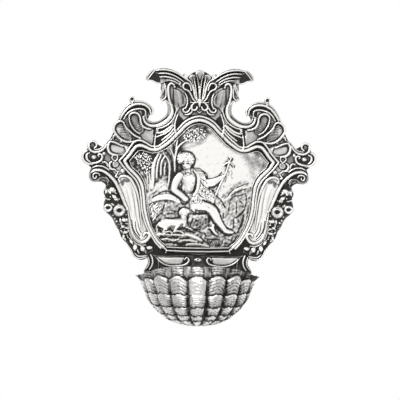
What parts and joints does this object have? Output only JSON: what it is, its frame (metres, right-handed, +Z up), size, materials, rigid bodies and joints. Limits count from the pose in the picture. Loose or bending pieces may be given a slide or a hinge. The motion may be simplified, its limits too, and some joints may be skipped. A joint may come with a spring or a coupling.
{
  "type": "holy water stoup",
  "caption": "Wall-hung silver holy water stoup: scrolled backplate with a framed relief, a fluted scallop-shell basin below and a hanging ring behind.",
  "frame": {"origin": "point on the wall plane where the wall hook carries the raised hanging ring", "axes": "+Z up; -Y out of the wall, the way the front faces; +X to the viewer's right"},
  "size_m": [0.2344, 0.0679, 0.255],
  "materials": {
    "chased_silver": "chased silver, dark oxide in the recesses, polished high points",
    "cast_silver": "cast and chased silver, dark oxide in the recesses",
    "relief_silver": "relief silver, satin ground with polished figures",
    "basin_silver": "fluted silver, polished ridges",
    "rear_silver": "plain satin silver behind the plate"
  },
  "bodies": {
    "stoup": {"apron_scrolls": "cast_silver", "backplate": "chased_silver", "basin_back": "basin_silver", "basin_shell": "basin_silver", "basin_stud_left": "rear_silver", "basin_stud_right": "rear_silver", "crest_cornice_left": "cast_silver", "crest_cornice_right": "cast_silver", "crest_palmette": "cast_silver", "crest_scroll_left": "cast_silver", "crest_scroll_right": "cast_silver", "ear_scroll_left": "cast_silver", "ear_scroll_right": "cast_silver", "frame_moulding": "cast_silver", "garland_left": "cast_silver", "garland_right": "cast_silver", "hanger_strap": "rear_silver", "rear_foot_left": "rear_silver", "rear_foot_right": "rear_silver", "relief_plaque": "relief_silver", "side_scroll_left": "cast_silver", "side_scroll_right": "cast_silver", "skirt_left": "cast_silver", "skirt_right": "cast_silver", "stud_nut_left": "rear_silver", "stud_nut_right": "rear_silver", "stud_washer_left": "rear_silver", "stud_washer_right": "rear_silver", "wing_hood_left": "cast_silver", "wing_hood_right": "cast_silver", "wing_shell_left": "cast_silver", "wing_shell_right": "cast_silver"},
    "ring": {"hanging_ring": "rear_silver"}
  },
  "joints": [
    {"name": "ring_swing", "type": "hinge", "parent": "stoup", "child": "ring", "pos_m": [0, -0.0032, -0.0204], "axis": [1, 0, 0], "range_deg": [0, 180]}
  ]
}
